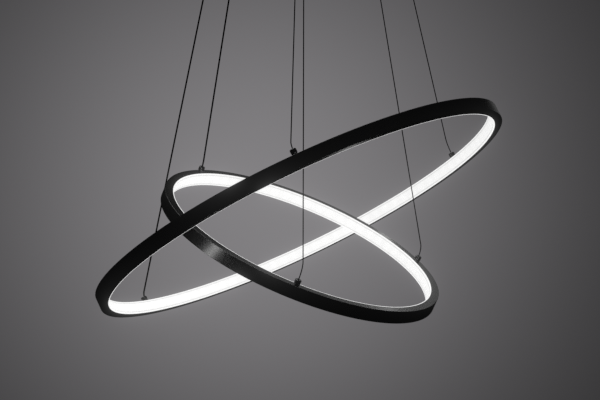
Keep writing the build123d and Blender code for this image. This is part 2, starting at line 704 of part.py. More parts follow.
def make_driver_screws():
    """Two pan-head screws that hold the driver's ears to the ceiling plate."""
    with BuildPart() as screws:
        with Locations([(*place, PLATE_UNDERSIDE - DRIVER_EAR_THICKNESS) for place in driver_screw_places()]):
            Cylinder(DRIVER_HEAD_DIAMETER / 2, DRIVER_HEAD_HEIGHT, align=HANGING)
            Cylinder(DRIVER_SCREW_DIAMETER / 2, DRIVER_EAR_THICKNESS + PLATE_THICKNESS, align=RISING)
        fillet(screws.edges().group_by(Axis.Z)[0], DRIVER_HEAD_HEIGHT / 2)
    return screws.part


def driver_lead_rows():
    """Y places of the mains leads at the driver's end, the inner lead first."""
    y = DRIVER_MIDDLE[1]
    return y - TERMINAL_PITCH / 2, y + TERMINAL_PITCH / 2


def terminal_rows():
    """Y places of the terminal block's poles, the nearest to the driver first."""
    y = TERMINAL_MIDDLE[1]
    middle = (TERMINAL_POLES - 1) / 2
    return [y + TERMINAL_PITCH * (middle - pole) for pole in range(TERMINAL_POLES)]


def make_terminal_block():
    """Screw terminal with a wire way through each pole and two screw holes from below."""
    x, y = TERMINAL_MIDDLE
    with BuildPart() as block:
        with Locations((x, y, PLATE_UNDERSIDE)):
            Box(TERMINAL_WIDTH, TERMINAL_LENGTH, TERMINAL_HEIGHT, align=HANGING)
        fillet(block.edges().filter_by(Axis.Z), TERMINAL_EDGE)
        with Locations([Location((x, row, LEAD_LEVEL), (0, 90, 0)) for row in terminal_rows()]):
            Cylinder(LEAD_DIAMETER / 2 + WIRE_GAP, TERMINAL_WIDTH, mode=Mode.SUBTRACT)
        with Locations(terminal_screw_places()):
            Cylinder(
                TERMINAL_SCREW_DIAMETER / 2 + THREAD_GAP,
                TERMINAL_SCREW_LENGTH,
                align=RISING,
                mode=Mode.SUBTRACT,
            )
    return block.part


def terminal_screw_places():
    """Places of the terminal's screws on its lower face, two for each pole."""
    x = TERMINAL_MIDDLE[0]
    bottom = PLATE_UNDERSIDE - TERMINAL_HEIGHT
    half = TERMINAL_SCREW_SPACING / 2
    return [(x + side * half, row, bottom) for row in terminal_rows() for side in (-1, 1)]


def make_terminal_screws():
    """Slotted clamping screws of the terminal block."""
    with BuildPart() as screws:
        with Locations(terminal_screw_places()):
            Cylinder(TERMINAL_SCREW_DIAMETER / 2, TERMINAL_SCREW_LENGTH, align=RISING)
            Box(
                TERMINAL_SCREW_DIAMETER,
                TERMINAL_SCREW_DIAMETER / 4,
                TERMINAL_SCREW_LENGTH / 3,
                mode=Mode.SUBTRACT,
            )
    return screws.part


def make_mains_lead(number):
    """Mains lead from a pole of the terminal block round to the driver's end."""
    driver_end = DRIVER_MIDDLE[0] + DRIVER_LENGTH / 2
    block_side = TERMINAL_MIDDLE[0] + TERMINAL_WIDTH / 2
    out = driver_end + LEAD_REACH[number]
    start, end = driver_lead_rows()[number], terminal_rows()[number + 1]
    points = [
        (driver_end - SOCKET_DEPTH + SEAT_GAP, start, LEAD_LEVEL),
        (out, start, LEAD_LEVEL),
        (out, end, LEAD_LEVEL),
        (block_side - SOCKET_DEPTH, end, LEAD_LEVEL),
    ]
    return make_line(f"mains_lead_{number + 1}", points, [LEAD_BEND, LEAD_BEND], LEAD_DIAMETER)


for ring in RINGS:
    save(make_channel(ring), f"{ring.name}_channel")
    save(make_diffuser(ring), f"{ring.name}_diffuser")
    save(make_strip(ring), f"{ring.name}_led_strip")
    save(make_chips(ring), f"{ring.name}_led_chips")
    save(make_joiner(ring), f"{ring.name}_joiner")
    save(make_joiner_screws(ring), f"{ring.name}_joiner_screws")
    save(make_grub_screws(ring), f"{ring.name}_grub_screws")
    save(make_stud_nuts(ring), f"{ring.name}_stud_nuts")
    save(make_feed_cord(ring), f"{ring.name}_feed_cord")
    for line in LINES:
        save(make_hanger(ring, line), f"{ring.name}_{line}_hanger")

for ring, line, place in WIRES:
    save(make_wire(ring, line), f"{ring.name}_{line}_wire")
    save(make_gripper(place), f"{ring.name}_{line}_gripper")
    save(make_plunger(place), f"{ring.name}_{line}_plunger")

for ring, _, place in FEEDS:
    save(make_cord_grip(place), f"{ring.name}_cord_grip")

save(make_cord_grip_screws(), "cord_grip_screws")
save(make_grip_nuts(), "grip_nuts")
save(make_cover(), "canopy_cover")
save(make_cover_screws(), "cover_screws")
save(make_ceiling_plate(), "ceiling_plate")
save(make_driver(), "led_driver")
save(make_driver_screws(), "driver_screws")
save(make_terminal_block(), "terminal_block")
save(make_terminal_screws(), "terminal_screws")
for number in range(2):
    save(make_mains_lead(number), f"mains_lead_{number + 1}")
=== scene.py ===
"""Looks of a two-ring pendant light: finishes, suspension lines, leads, a plain studio and a camera."""

import logging
import math
from dataclasses import dataclass
from enum import Enum
from typing import Union

import bpy
import numpy as np
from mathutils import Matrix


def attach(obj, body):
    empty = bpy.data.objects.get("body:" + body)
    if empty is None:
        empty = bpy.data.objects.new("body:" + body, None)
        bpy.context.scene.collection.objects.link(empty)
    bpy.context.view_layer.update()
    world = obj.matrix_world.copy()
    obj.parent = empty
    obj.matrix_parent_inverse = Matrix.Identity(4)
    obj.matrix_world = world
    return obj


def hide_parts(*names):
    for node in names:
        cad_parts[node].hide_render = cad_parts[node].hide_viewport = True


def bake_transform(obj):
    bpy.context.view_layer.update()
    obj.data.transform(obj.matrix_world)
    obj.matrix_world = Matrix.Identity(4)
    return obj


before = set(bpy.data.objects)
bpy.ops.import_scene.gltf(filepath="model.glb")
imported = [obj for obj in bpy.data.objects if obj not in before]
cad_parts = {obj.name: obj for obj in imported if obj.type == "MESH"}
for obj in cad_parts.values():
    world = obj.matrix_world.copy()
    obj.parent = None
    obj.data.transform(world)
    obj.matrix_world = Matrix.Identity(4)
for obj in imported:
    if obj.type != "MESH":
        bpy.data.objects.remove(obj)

LOG = logging.getLogger("pendant")
MM = 0.001
CANOPY_BODY = "canopy"
TUBE_MAP = "tube"
ACROSS, BACK, UP = np.eye(3)

Colour = tuple[float, float, float]
Place = tuple[float, float, float]
Number = Union[float, "Term"]


class Line(Enum):
    """Suspension lines of a ring."""

    FEED = "feed"
    NEAR = "near"
    RIGHT = "right"


class Stretch(Enum):
    """Stretches of a wire, from inside its hanger up."""

    SEAT = "seat"
    FOOT = "foot"
    RUN = "run"
    NECK = "neck"


WIRES = (Line.NEAR, Line.RIGHT)


class Term:
    """One value in a material's nodes: Python's operators on it add Math nodes."""

    def __init__(self, shader: "Shader", socket: bpy.types.NodeSocket) -> None:
        """Keep a socket with the shader that it belongs to."""
        self.shader = shader
        self.socket = socket

    def __add__(self, other: Number) -> "Term":
        """This value plus another."""
        return self.shader.maths("ADD", self, other)

    def __radd__(self, other: Number) -> "Term":
        """A number plus this value."""
        return self.shader.maths("ADD", other, self)

    def __sub__(self, other: Number) -> "Term":
        """This value less another."""
        return self.shader.maths("SUBTRACT", self, other)

    def __rsub__(self, other: Number) -> "Term":
        """A number less this value."""
        return self.shader.maths("SUBTRACT", other, self)

    def __mul__(self, other: Number) -> "Term":
        """This value times another."""
        return self.shader.maths("MULTIPLY", self, other)

    def __rmul__(self, other: Number) -> "Term":
        """A number times this value."""
        return self.shader.maths("MULTIPLY", other, self)

    def __truediv__(self, other: Number) -> "Term":
        """This value over another."""
        return self.shader.maths("DIVIDE", self, other)

    def __pow__(self, other: Number) -> "Term":
        """This value to a power."""
        return self.shader.maths("POWER", self, other)

    def __abs__(self) -> "Term":
        """This value without its sign."""
        return self.shader.maths("ABSOLUTE", self)

    def swing(self, reach: float) -> "Term":
        """This value, which runs from 0 to 1, as a swing about nought that is reach wide."""
        return reach * (self - 0.5)


class Shader:
    """Node tree of one material, ending in a Principled BSDF."""

    def __init__(self, name: str) -> None:
        """Start a material with a plain surface."""
        self.material = bpy.data.materials.new(name)
        self.material.use_nodes = True
        self.tree = self.material.node_tree
        self.bsdf = self.tree.nodes["Principled BSDF"]

    def fill(self, socket: bpy.types.NodeSocket, value: object) -> None:
        """Link a term to a socket, or set a plain number, vector or colour on it.

        Args:
            socket: Input to fill.
            value: Term, number or tuple; a colour of three numbers gets full alpha.
        """
        if isinstance(value, Term):
            self.tree.links.new(value.socket, socket)
        elif socket.type == "RGBA":
            socket.default_value = (*value, 1.0)
        else:
            socket.default_value = value

    def node(self, kind: str, settings: dict, inputs: dict, output: int | str = 0) -> Term:
        """Add any node.

        Args:
            kind: The node's type.
            settings: Properties to set first.
            inputs: Values or terms by a socket's name or number.
            output: Name or number of the socket to return.

        Returns:
            The node's output as a term.
        """
        node = self.tree.nodes.new(kind)
        for key, value in settings.items():
            setattr(node, key, value)
        for key, value in inputs.items():
            self.fill(node.inputs[key], value)
        return Term(self, node.outputs[output])

    def maths(self, operation: str, *values: Number) -> Term:
        """Math node on one or two values."""
        return self.node("ShaderNodeMath", {"operation": operation}, dict(enumerate(values)))

    def wave(self, phase: Term) -> Term:
        """Sine of a phase in radians, moved to run from 0 to 1."""
        return 0.5 + 0.5 * self.maths("SINE", phase)

    def place(self) -> Term:
        """Object coordinates, which are the lamp's own frame in metres."""
        return self.node("ShaderNodeTexCoord", {}, {}, "Object")

    def along(self, direction: np.ndarray, origin: np.ndarray) -> Term:
        """Distance of a surface point from an origin, measured along a direction.

        Args:
            direction: Unit vector.
            origin: Point where the distance is nought.

        Returns:
            The distance in metres.
        """
        inputs = {0: self.place(), 1: tuple(direction)}
        dot = self.node("ShaderNodeVectorMath", {"operation": "DOT_PRODUCT"}, inputs, "Value")
        return dot - float(np.dot(direction, origin))

    def noise(self, grain: float, detail: float) -> Term:
        """Cloudy pattern from 0 to 1.

        Args:
            grain: Size of its patches, in metres.
            detail: Number of finer layers.

        Returns:
            The pattern's value.
        """
        inputs = {"Vector": self.place(), "Scale": 1.0 / grain, "Detail": detail}
        return self.node("ShaderNodeTexNoise", {}, inputs, "Fac")

    def tube_place(self) -> tuple[Term, Term]:
        """Share of the way round a tube and distance along it in metres, from its UV map."""
        uv = self.node("ShaderNodeUVMap", {"uv_map": TUBE_MAP}, {})
        around = self.node("ShaderNodeSeparateXYZ", {}, {0: uv}, "X")
        along = self.node("ShaderNodeSeparateXYZ", {}, {0: uv}, "Y")
        return around, along

    def smooth_step(self, value: Term, steps: tuple[float, float], levels: tuple[float, float]) -> Term:
        """Value that goes smoothly from one level to another.

        Args:
            value: What the step follows.
            steps: Where the step starts and ends.
            levels: Result before and after the step.

        Returns:
            The level.
        """
        inputs = {"Value": value, "From Min": steps[0], "From Max": steps[1]}
        inputs |= {"To Min": levels[0], "To Max": levels[1]}
        return self.node("ShaderNodeMapRange", {"interpolation_type": "SMOOTHSTEP"}, inputs)

    def mix(self, share: Number, first: Colour, second: Colour) -> Term:
        """Colour between two, by a share from 0 to 1."""
        # The node's names repeat for numbers, vectors and colours, so its colour sockets go by number.
        return self.node("ShaderNodeMix", {"data_type": "RGBA"}, {0: share, 6: first, 7: second}, 2)

    def bump(self, height: Term, depth: float) -> Term:
        """Normal of a surface raised by a height from 0 to 1.

        Args:
            height: The pattern.
            depth: Relief between its lowest and highest places, in metres.

        Returns:
            The bent normal.
        """
        inputs = {"Height": height, "Distance": depth, "Strength": 1.0}
        return self.node("ShaderNodeBump", {}, inputs)

    def surface(self, **values: object) -> bpy.types.Material:
        """Fill the Principled BSDF's sockets, named with underscores for spaces, and give the material."""
        for key, value in values.items():
            self.fill(self.bsdf.inputs[key.replace("_", " ")], value)
        return self.material


def toned(colour: Colour, share: float) -> Colour:
    """Colour made darker or paler by a share, with no channel past white."""
    return tuple(min(1.0, share * channel) for channel in colour)


@dataclass(frozen=True)
class Finish:
    """What most of the finishes have.

    Attributes:
        name: Material's name.
        colour: Main colour of the surface.
        roughness: Roughness of the surface, which its pattern changes or adds to.
    """

    name: str
    colour: Colour
    roughness: float


@dataclass(frozen=True)
class PowderCoat(Finish):
    """Satin paint with a fine pebbled skin.

    Attributes:
        pebble: Size of the skin's pebbles.
        relief: Height of the pebbles.
        index: Refractive index, which sets how strongly the paint mirrors.
        patch: Size of the patches in which its sheen drifts.
        fading: Brightness of a faded patch, as a share of the colour's.
        patch_sheen: Change of roughness between patches.
        pebble_sheen: Change of roughness between pebbles.
    """

    pebble: float = 1.2 * MM
    relief: float = 0.003 * MM
    index: float = 2.7
    patch: float = 60.0 * MM
    fading: float = 1.35
    patch_sheen: float = 0.1
    pebble_sheen: float = 0.05

    def material(self) -> bpy.types.Material:
        """Paint whose sheen drifts a little from place to place."""
        shader = Shader(self.name)
        drift = shader.noise(self.patch, detail=2.0)
        pebbles = shader.noise(self.pebble, detail=1.0)
        return shader.surface(
            Base_Color=shader.mix(drift, self.colour, toned(self.colour, self.fading)),
            Roughness=self.roughness + drift.swing(self.patch_sheen) + pebbles.swing(self.pebble_sheen),
            IOR=self.index,
            Specular_IOR_Level=1.0,
            Normal=shader.bump(pebbles, self.relief),
        )


@dataclass(frozen=True)
class OpalAcrylic:
    """Opal strip lit from behind by a row of chips.

    Attributes:
        name: Material's name, after the ring's.
        tint: Colour of the light.
        strength: Light of the strip at its feed.
        far_loss: Share of the light that is lost on the side of the ring opposite the feed.
        lip_loss: Share of the light that the channel's lips keep from the strip in front of them.
        lip_place: Middle of the lips, as a share of half the strip's height.
        lip_width: Half the width of their shade, as a share of half the strip's height.
        edge_gain: Share by which the strip's two edges are brighter.
        chip_ripple: Half the share by which the light falls between two chips.
        cloud: Share by which the light varies with the acrylic's thickness.
        cloud_size: Size of its thick and thin patches.
        grain_size: Size of the grain of its skin.
        skin: Colours of the unlit acrylic, between which the grain varies.
        roughness: Roughness of its skin on average.
        grain_sheen: Change of roughness with the grain.
    """

    name: str
    tint: Colour
    strength: float
    far_loss: float = 0.09
    lip_loss: float = 0.3
    lip_place: float = 0.74
    lip_width: float = 0.07
    edge_gain: float = 0.12
    chip_ripple: float = 0.015
    cloud: float = 0.02
    cloud_size: float = 4.0 * MM
    grain_size: float = 1.5 * MM
    skin: tuple[Colour, Colour] = ((0.8, 0.8, 0.79), (0.84, 0.84, 0.83))
    roughness: float = 0.38
    grain_sheen: float = 0.06

    def material(self, ring: "LightRing") -> bpy.types.Material:
        """Lit face, brightest at the feed and along its two edges, with a faint ripple at the chips.

        With c the cosine of the angle round the ring from the feed, the light is 1 less half the far loss
        times 1 - c. It ripples as the cosine of the angle round the ring times the number of chips. Across
        the strip it is 1, less a narrow bell at each lip, plus a smooth step from the lip to the edge.

        Args:
            ring: The ring that the strip lines.

        Returns:
            The material.
        """
        shader = Shader(f"{ring.name}_{self.name}")
        height = abs(shader.along(ring.axis, ring.centre)) / ring.half_height
        from_feed = shader.along(ring.outwards(Line.FEED), ring.centre) / ring.lit_radius
        up_slope = shader.along(ring.slope, ring.centre)
        on_level = shader.along(ring.level, ring.centre)
        turn = shader.maths("ARCTAN2", up_slope, on_level)
        ripple = 1.0 - self.chip_ripple * (1.0 - shader.maths("COSINE", turn * float(ring.chips)))
        fall = 1.0 - 0.5 * self.far_loss * (1.0 - from_feed)
        bell = shader.maths("EXPONENT", ((height - self.lip_place) / self.lip_width) ** 2.0 * -1.0)
        edge = shader.smooth_step(height, (self.lip_place, 1.0), (0.0, self.edge_gain))
        lips = 1.0 - self.lip_loss * bell + edge
        clouds = 1.0 - self.cloud * shader.noise(self.cloud_size, detail=3.0)
        grain = shader.noise(self.grain_size, detail=2.0)
        return shader.surface(
            Base_Color=shader.mix(grain, *self.skin),
            Roughness=self.roughness + grain.swing(self.grain_sheen),
            Emission_Color=shader.mix(fall * ripple * lips * clouds, (0.0, 0.0, 0.0), self.tint),
            Emission_Strength=self.strength,
        )


@dataclass(frozen=True)
class TurnedMetal(Finish):
    """Plated metal with the fine rings that a lathe leaves.

    Attributes:
        pitch: Distance between tool marks.
        relief: Depth of the tool marks.
        smear: Size of the patches that polishing leaves.
        shine: Brightness of a polished patch, as a share of the colour's.
        smear_sheen: Change of roughness between patches.
        mark_sheen: Roughness that the crest of a tool mark adds.
    """

    pitch: float = 0.4 * MM
    relief: float = 0.004 * MM
    smear: float = 4.0 * MM
    shine: float = 1.25
    smear_sheen: float = 0.12
    mark_sheen: float = 0.04

    def material(self, axis: np.ndarray = UP, mark: str = "") -> bpy.types.Material:
        """Metal whose tool marks run square to its axis, as a sine of the distance along it.

        Args:
            axis: Unit vector along the lathe's axis.
            mark: Word that sets the material's name apart.

        Returns:
            The material.
        """
        shader = Shader(f"{mark}{self.name}")
        marks = shader.wave(shader.along(axis, np.zeros(3)) * (math.tau / self.pitch))
        smear = shader.noise(self.smear, detail=2.0)
        return shader.surface(
            Base_Color=shader.mix(smear, self.colour, toned(self.colour, self.shine)),
            Metallic=1.0,
            Roughness=self.roughness + smear.swing(self.smear_sheen) + self.mark_sheen * marks,
            Normal=shader.bump(marks, self.relief),
        )


@dataclass(frozen=True)
class ZincPlate(Finish):
    """Bright zinc on pressed or rolled steel, with a faint crystal pattern.

    Attributes:
        crystals: Crystals to a metre.
        haze: Size of the hazy patches over them.
        shade: Share of its colour that the dullest place keeps.
        crystal_share: Share of the pattern that is crystals; the rest is haze.
        sheen: Change of roughness between crystals, and between patches.
    """

    crystals: float = 260.0
    haze: float = 12.0 * MM
    shade: float = 0.82
    crystal_share: float = 0.6
    sheen: float = 0.1

    def material(self) -> bpy.types.Material:
        """Plate whose sheen changes from crystal to crystal."""
        shader = Shader(self.name)
        inputs = {"Vector": shader.place(), "Scale": self.crystals}
        crystal = shader.node("ShaderNodeTexVoronoi", {}, inputs, "Color")
        tone = shader.node("ShaderNodeRGBToBW", {}, {0: crystal})
        haze = shader.noise(self.haze, detail=3.0)
        pattern = self.crystal_share * tone + (1.0 - self.crystal_share) * haze
        return shader.surface(
            Base_Color=shader.mix(pattern, toned(self.colour, self.shade), self.colour),
            Metallic=1.0,
            Roughness=self.roughness + tone.swing(self.sheen) + haze.swing(self.sheen),
        )


@dataclass(frozen=True)
class Moulding(Finish):
    """Moulded or coated plastic with a fine spark-eroded grain.

    Attributes:
        grain: Size of the skin's grain.
        relief: Height of the grain.
        glow_through: Share of the light that spreads under the skin.
        glow_depth: How far that light spreads.
        cloud: Size of the flow clouds.
        shade: Share of its colour that the darkest cloud keeps.
        grain_sheen: Change of roughness with the grain.
        cloud_sheen: Change of roughness between clouds.
    """

    grain: float = 0.5 * MM
    relief: float = 0.008 * MM
    glow_through: float = 0.0
    glow_depth: float = 2.0 * MM
    cloud: float = 20.0 * MM
    shade: float = 0.9
    grain_sheen: float = 0.08
    cloud_sheen: float = 0.06

    def material(self) -> bpy.types.Material:
        """Plastic with a grained skin and slight flow clouds."""
        shader = Shader(self.name)
        clouds = shader.noise(self.cloud, detail=3.0)
        skin = shader.noise(self.grain, detail=1.0)
        return shader.surface(
            Base_Color=shader.mix(clouds, toned(self.colour, self.shade), self.colour),
            Roughness=self.roughness + skin.swing(self.grain_sheen) + clouds.swing(self.cloud_sheen),
            Subsurface_Weight=self.glow_through,
            Subsurface_Scale=self.glow_depth,
            Normal=shader.bump(skin, self.relief),
        )


@dataclass(frozen=True)
class Phosphor(Finish):
    """Yellow phosphor under clear resin.

    Attributes:
        strength: Light that it gives.
        powder: Size of the mottles.
        paling: Share of the way to white in the palest mottles.
        powder_sheen: Roughness that the powder adds.
    """

    strength: float
    powder: float = 0.4 * MM
    paling: float = 0.5
    powder_sheen: float = 0.1

    def material(self) -> bpy.types.Material:
        """Chip face that glows a little and mottles where the powder has settled."""
        shader = Shader(self.name)
        powder = shader.noise(self.powder, detail=2.0)
        paler = tuple(channel + self.paling * (1.0 - channel) for channel in self.colour)
        return shader.surface(
            Base_Color=shader.mix(powder, self.colour, paler),
            Roughness=self.roughness + self.powder_sheen * powder,
            Emission_Color=shader.mix(powder, self.colour, paler),
            Emission_Strength=self.strength,
        )


@dataclass(frozen=True)
class WireRope(Finish):
    """Fine steel rope, whose strands wind round it.

    Attributes:
        strands: Number of strands.
        lay: Length in which a strand goes once round.
        relief: Depth of the grooves between strands.
        shade: Share of its colour that a groove keeps, as painted shade in the grooves.
        groove_sheen: Roughness that a groove adds.
    """

    strands: int = 6
    lay: float = 8.0 * MM
    relief: float = 0.12 * MM
    shade: float = 0.3
    groove_sheen: float = 0.15

    def material(self) -> bpy.types.Material:
        """Rope whose strands rise as the sine of the way round it and along it, with painted shade
        darkening the grooves.
        """
        shader = Shader(self.name)
        around, along = shader.tube_place()
        turns = around * float(self.strands) + along * (self.strands / self.lay)
        crest = shader.wave(turns * math.tau)
        return shader.surface(
            # The grooves' darker colour is painted shade.
            Base_Color=shader.mix(crest, toned(self.colour, self.shade), self.colour),
            Metallic=1.0,
            Roughness=self.roughness + self.groove_sheen * (1.0 - crest),
            Normal=shader.bump(crest, self.relief),
        )


@dataclass(frozen=True)
class Sheath(Finish):
    """Extruded plastic sheath of a cord or lead.

    Attributes:
        relief: Height of the die lines.
        lines: Number of die lines round it.
        twist: How far the lines wind, in radians of their wave to a metre.
        drift: Size of the patches in which its sheen drifts.
        paling: Brightness of its palest place, as a share of the colour's.
        drift_sheen: Change of roughness between patches.
    """

    relief: float = 0.03 * MM
    lines: float = 14.0
    twist: float = 40.0
    drift: float = 30.0 * MM
    paling: float = 1.3
    drift_sheen: float = 0.1

    def material(self) -> bpy.types.Material:
        """Sheath with long faint die lines and a slow drift of its sheen."""
        shader = Shader(self.name)
        around, along = shader.tube_place()
        lines = shader.wave(around * (self.lines * math.tau) + along * self.twist)
        drift = shader.noise(self.drift, detail=2.0)
        return shader.surface(
            Base_Color=shader.mix(0.5 * drift + 0.5 * lines, self.colour, toned(self.colour, self.paling)),
            Roughness=self.roughness + drift.swing(self.drift_sheen),
            Normal=shader.bump(lines, self.relief),
        )


BLACK_COAT = PowderCoat("satin_black_coat", (0.006, 0.006, 0.0062), 0.27)
CANOPY_COAT = PowderCoat("canopy_black_coat", (0.006, 0.006, 0.0062), 0.4)
OPAL = OpalAcrylic("opal_acrylic", (1.0, 0.998, 0.995), 0.86)
BLACK_NICKEL = TurnedMetal("black_nickel", (0.3, 0.3, 0.305), 0.22)
BRIGHT_NICKEL = TurnedMetal("bright_nickel", (0.55, 0.54, 0.52), 0.22)
BLACK_OXIDE = TurnedMetal("black_oxide", (0.035, 0.035, 0.037), 0.42)
PLAIN_ALUMINIUM = TurnedMetal("plain_aluminium", (0.74, 0.74, 0.75), 0.35, pitch=0.8 * MM)
ZINC = ZincPlate("bright_zinc", (0.62, 0.63, 0.65), 0.3)
SOLDER_MASK = Moulding("white_solder_mask", (0.86, 0.86, 0.84), 0.4, grain=1.2 * MM)
DRIVER_CASE = Moulding("white_case", (0.82, 0.82, 0.8), 0.48)
NYLON = Moulding("natural_nylon", (0.78, 0.78, 0.74), 0.42, grain=0.8 * MM, glow_through=0.3)
CHIP_RESIN = Phosphor("chip_phosphor", (0.95, 0.72, 0.16), 0.25, strength=0.6)
STEEL_ROPE = WireRope("steel_rope", (0.03, 0.03, 0.031), 0.42)
FEED_SHEATH = Sheath("black_sheath", (0.012, 0.012, 0.012), 0.5)
BROWN_SHEATH = Sheath("brown_sheath", (0.14, 0.05, 0.02), 0.42)
BLUE_SHEATH = Sheath("blue_sheath", (0.02, 0.08, 0.3), 0.42)


def dress(material: bpy.types.Material, *names: str) -> None:
    """Give CAD nodes a finish.

    Args:
        material: Finish to set on each node's first material slot.
        names: The nodes' names.
    """
    for name in names:
        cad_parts[name].material_slots[0].material = material
        LOG.info("dressed %s in %s", name, material.name)


def unit(vector: np.ndarray) -> np.ndarray:
    """Vector of length one in the same direction."""
    return vector / np.linalg.norm(vector)


def spline_points(route: np.ndarray, steps: int) -> np.ndarray:
    """Points on a route's smooth line, a quadratic NURBS spline with the route's points as control points.

    Args:
        route: Control points, one to a row, in metres.
        steps: Points to each of the spline's spans.

    Returns:
        Points along the line, one to a row.
    """
    curve = bpy.data.curves.new("route", "CURVE")
    curve.dimensions = "3D"
    spline = curve.splines.new("NURBS")
    spline.points.add(len(route) - 1)
    spline.points.foreach_set("co", np.column_stack((route, np.ones(len(route)))).ravel())
    spline.order_u = 3
    spline.use_endpoint_u = True
    spline.resolution_u = steps
    holder = bpy.data.objects.new("route", curve)
    mesh = bpy.data.meshes.new_from_object(holder)
    points = np.zeros(3 * len(mesh.vertices))
    mesh.vertices.foreach_get("co", points)
    bpy.data.meshes.remove(mesh)
    bpy.data.objects.remove(holder)
    bpy.data.curves.remove(curve)
    return points.reshape(-1, 3)


def run_lengths(points: np.ndarray) -> np.ndarray:
    """Distance along a line at each of its points."""
    steps = np.linalg.norm(np.diff(points, axis=0), axis=1)
    return np.concatenate(([0.0], np.cumsum(steps)))


def tube_faces(rings: int, count: int) -> list[list[int]]:
    """Faces of a closed tube of rings of points: quads from ring to ring, then a cap on each end.

    Point k of ring i has the number i times count plus k, and a ring's last point joins its first.

    Args:
        rings: Number of rings.
        count: Points in each ring.

    Returns:
        Vertex numbers of each face.
    """
    rows, columns = np.meshgrid(np.arange(rings - 1), np.arange(count), indexing="ij")
    here = rows * count + columns
    after = rows * count + (columns + 1) % count
    quads = np.stack((here, after, after + count, here + count), axis=-1).reshape(-1, 4)
    cap = np.arange(count)
    return quads.tolist() + [cap[::-1].tolist(), (cap + (rings - 1) * count).tolist()]


def new_piece(name: str, vertices: np.ndarray, faces: list, smooth: np.ndarray) -> bpy.types.Object:
    """Mesh object at the origin, linked to the scene.

    Args:
        name: Piece's name.
        vertices: Points, one to a row.
        faces: Vertex numbers of each face.
        smooth: Whether each face is shaded smooth.

    Returns:
        The object.
    """
    mesh = bpy.data.meshes.new(name)
    mesh.from_pydata(vertices.tolist(), [], faces)
    mesh.polygons.foreach_set("use_smooth", smooth)
    mesh.update()
    piece = bpy.data.objects.new(name, mesh)
    bpy.context.scene.collection.objects.link(piece)
    return piece


def make_tube(
    name: str, path: np.ndarray, diameter: float, side: np.ndarray, count: int
) -> bpy.types.Object:
    """Round tube along a path, with flat ends.

    A point is the path's point plus the radius times (cos v times the first normal plus sin v times the
    second), where the second normal is square to the tangent and to a fixed side, and the first closes
    the frame. Its UV map holds v as a share of a turn and the distance along the path.

    Args:
        name: Piece's name.
        path: Points of the centreline.
        diameter: The tube's thickness.
        side: Direction that the path is never parallel to.
        count: Faces round the tube.

    Returns:
        The tube.
    """
    length = run_lengths(path)
    tangent = np.gradient(path, length, axis=0)
    second = np.cross(tangent, side)
    second /= np.linalg.norm(second, axis=1, keepdims=True)
    first = np.cross(second, tangent)
    first /= np.linalg.norm(first, axis=1, keepdims=True)
    turn = np.arange(count) * math.tau / count
    spokes = first[:, None] * np.cos(turn)[:, None] + second[:, None] * np.sin(turn)[:, None]
    vertices = (path[:, None] + diameter / 2 * spokes).reshape(-1, 3)
    faces = tube_faces(len(path), count)
    tube = new_piece(name, vertices, faces, np.arange(len(faces)) < len(faces) - 2)
    around = (np.arange(count)[:, None] + (0, 1, 1, 0)) / count
    along = np.stack((length[:-1], length[:-1], length[1:], length[1:]), axis=-1)
    sides = np.stack(np.broadcast_arrays(around, along[:, None]), axis=-1).reshape(-1, 2)
    caps = np.repeat(((0.0, 0.0), (0.0, length[-1])), count, axis=0)
    layer = tube.data.uv_layers.new(name=TUBE_MAP)
    layer.data.foreach_set("uv", np.concatenate((sides, caps)).ravel())
    return tube


@dataclass(frozen=True)
class LineSeat:
    """Where a suspension line stands on its ring and meets the canopy.

    Attributes:
        hanger: Hanger's angle round the ring, degrees.
        rise: Hanger's top to the line's first bend.
        grip: Grip's angle round the canopy, degrees.
    """

    hanger: float
    rise: float
    grip: float


@dataclass(frozen=True)
class LineKind:
    """Thickness, ends and mesh of a kind of suspension line.

    Attributes:
        diameter: Thickness.
        start: Height of its lower end over the ring's top face.
        top: Level of its last upright point inside the canopy.
        slot: The record's material slot for it; not used.
        steps: Points to each span of its smooth line.
        sides: Faces round its tube.
    """

    diameter: float
    start: float
    top: float
    slot: str
    steps: int = 64
    sides: int = 14


